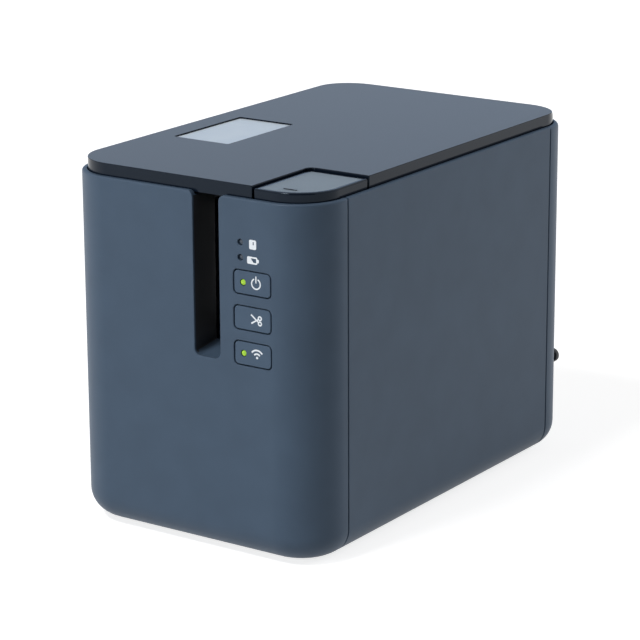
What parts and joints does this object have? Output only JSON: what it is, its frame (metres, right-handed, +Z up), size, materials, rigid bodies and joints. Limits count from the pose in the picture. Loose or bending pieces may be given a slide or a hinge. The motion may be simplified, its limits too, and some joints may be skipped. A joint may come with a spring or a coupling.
{
  "type": "label maker",
  "caption": "Desktop label maker with a hinged lid over its tape bay, a tall tape exit slot, front keys, a release button and a motorised feed and cutter.",
  "frame": {"origin": "on the table, under the middle of the overall box", "axes": "+X to the viewer's right, front face towards -Y, +Z up"},
  "size_m": [0.118, 0.196, 0.146],
  "materials": {
    "cover": "fine satin texture",
    "lid": "fine satin texture",
    "dark": "matt",
    "bay": "matt",
    "pane": "frosted",
    "key": "satin",
    "light": "lit green lens",
    "lens": "dark lens",
    "steel": "bright",
    "zinc": "zinc plated",
    "aluminium": "anodised",
    "rubber": "matt",
    "acetal": "natural",
    "board": "solder mask",
    "ceramic": "glazed"
  },
  "bodies": {
    "housing": {"front_cover": "cover", "left_side_cover": "cover", "right_side_cover": "cover", "rear_cover": "cover", "cord_hook": "dark", "base_tray": "dark", "foot_1": "rubber", "foot_2": "rubber", "foot_3": "rubber", "foot_4": "rubber", "base_screw_1": "zinc", "base_screw_2": "zinc", "base_screw_3": "zinc", "base_screw_4": "zinc", "mechanism_frame": "zinc", "holder_pivot_pin": "steel", "feed_motor": "zinc", "head_heat_sink": "aluminium", "print_head": "ceramic", "cutter_frame": "steel", "cutter_pivot": "steel", "fixed_blade": "steel", "cutter_motor": "zinc", "cassette_bay": "bay", "tape_sensor": "dark", "hinge_pin_left": "steel", "hinge_pin_right": "steel", "latch_pin": "steel", "release_spring": "steel", "status_light": "lens", "battery_light": "lens", "control_board": "board", "board_screw_1": "zinc", "board_screw_2": "zinc", "main_board": "board", "wireless_module": "steel", "usb_port": "steel", "dc_inlet": "dark"},
    "lid": {"top_cover": "lid", "viewer_window": "pane"},
    "release_button": {"release_button": "lid"},
    "latch": {"latch_lever": "acetal"},
    "power_key": {"power_key": "key", "power_key_light": "light"},
    "feed_cut_key": {"feed_cut_key": "key"},
    "wireless_key": {"wireless_key": "key", "wireless_key_light": "light"},
    "roller_holder": {"roller_holder": "acetal"},
    "platen": {"platen_shaft": "steel", "platen_roller": "rubber", "platen_gear": "acetal"},
    "feed_roller": {"feed_roller": "dark"},
    "reduction_gear": {"reduction_gear": "acetal"},
    "idler_gear": {"idler_gear": "acetal"},
    "ribbon_spindle": {"ribbon_spindle": "acetal"},
    "motor_pinion": {"motor_pinion": "steel"},
    "moving_blade": {"moving_blade": "steel"},
    "cutter_pinion": {"cutter_pinion": "acetal"}
  },
  "joints": [
    {"name": "lid_hinge", "type": "hinge", "parent": "housing", "child": "lid", "pos_m": [0, 0.0889, 0.1432], "axis": [-1, 0, 0], "range_deg": [0, 100]},
    {"name": "release_press", "type": "slide", "parent": "housing", "child": "release_button", "axis": [0, 0, -1], "range_m": [0, 0.002], "stiffness_N_per_m": 600, "springref_m": -0.001, "deforming": ["release_spring"]},
    {"name": "latch_swing", "type": "hinge", "parent": "housing", "child": "latch", "pos_m": [0.044, -0.0547, 0.124], "axis": [1, 0, 0], "range_deg": [0, 7.6]},
    {"name": "power_key_press", "type": "slide", "parent": "housing", "child": "power_key", "axis": [0, 1, 0], "range_m": [0, 0.0008], "stiffness_N_per_m": 900, "springref_m": -0.0005},
    {"name": "feed_cut_key_press", "type": "slide", "parent": "housing", "child": "feed_cut_key", "axis": [0, 1, 0], "range_m": [0, 0.0008], "stiffness_N_per_m": 900, "springref_m": -0.0005},
    {"name": "wireless_key_press", "type": "slide", "parent": "housing", "child": "wireless_key", "axis": [0, 1, 0], "range_m": [0, 0.0008], "stiffness_N_per_m": 900, "springref_m": -0.0005},
    {"name": "holder_swing", "type": "hinge", "parent": "housing", "child": "roller_holder", "pos_m": [0.0143, -0.02, 0.106], "axis": [0, 0, 1], "range_deg": [0, 8], "stiffness_Nm_per_rad": 0.05, "springref_deg": -17.19},
    {"name": "platen_spin", "type": "hinge", "parent": "roller_holder", "child": "platen", "pos_m": [0.0143, -0.05, 0.106], "axis": [0, 0, 1], "continuous": true},
    {"name": "feed_roller_spin", "type": "hinge", "parent": "roller_holder", "child": "feed_roller", "pos_m": [0.0132, -0.066, 0.106], "axis": [0, 0, 1], "continuous": true},
    {"name": "reduction_spin", "type": "hinge", "parent": "housing", "child": "reduction_gear", "pos_m": [-0.0225, -0.05, 0.0742], "axis": [0, 0, 1], "continuous": true},
    {"name": "idler_spin", "type": "hinge", "parent": "housing", "child": "idler_gear", "pos_m": [-0.0041, -0.05, 0.0742], "axis": [0, 0, 1], "continuous": true},
    {"name": "ribbon_spin", "type": "hinge", "parent": "housing", "child": "ribbon_spindle", "pos_m": [-0.00969, -0.02914, 0.0742], "axis": [0, 0, 1], "continuous": true},
    {"name": "pinion_spin", "type": "hinge", "parent": "housing", "child": "motor_pinion", "pos_m": [-0.01889, -0.07048, 0.078], "axis": [0, 0, 1], "continuous": true},
    {"name": "blade_swing", "type": "hinge", "parent": "housing", "child": "moving_blade", "pos_m": [0.01, -0.08, 0.0803], "axis": [0, -1, 0], "range_deg": [0, 18]},
    {"name": "cutter_pinion_spin", "type": "hinge", "parent": "housing", "child": "cutter_pinion", "pos_m": [0.01972, -0.08, 0.05946], "axis": [0, 1, 0], "range_deg": [0, 65]}
  ],
  "couplings": [
    {"joint": "latch_swing", "follows": "release_press", "rad_per_m": 65.359},
    {"joint": "idler_spin", "follows": "reduction_spin", "ratio": -0.53333},
    {"joint": "ribbon_spin", "follows": "reduction_spin", "ratio": 0.66667},
    {"joint": "platen_spin", "follows": "reduction_spin", "ratio": 1},
    {"joint": "pinion_spin", "follows": "reduction_spin", "ratio": -3.3333},
    {"joint": "cutter_pinion_spin", "follows": "blade_swing", "ratio": 3.6}
  ]
}
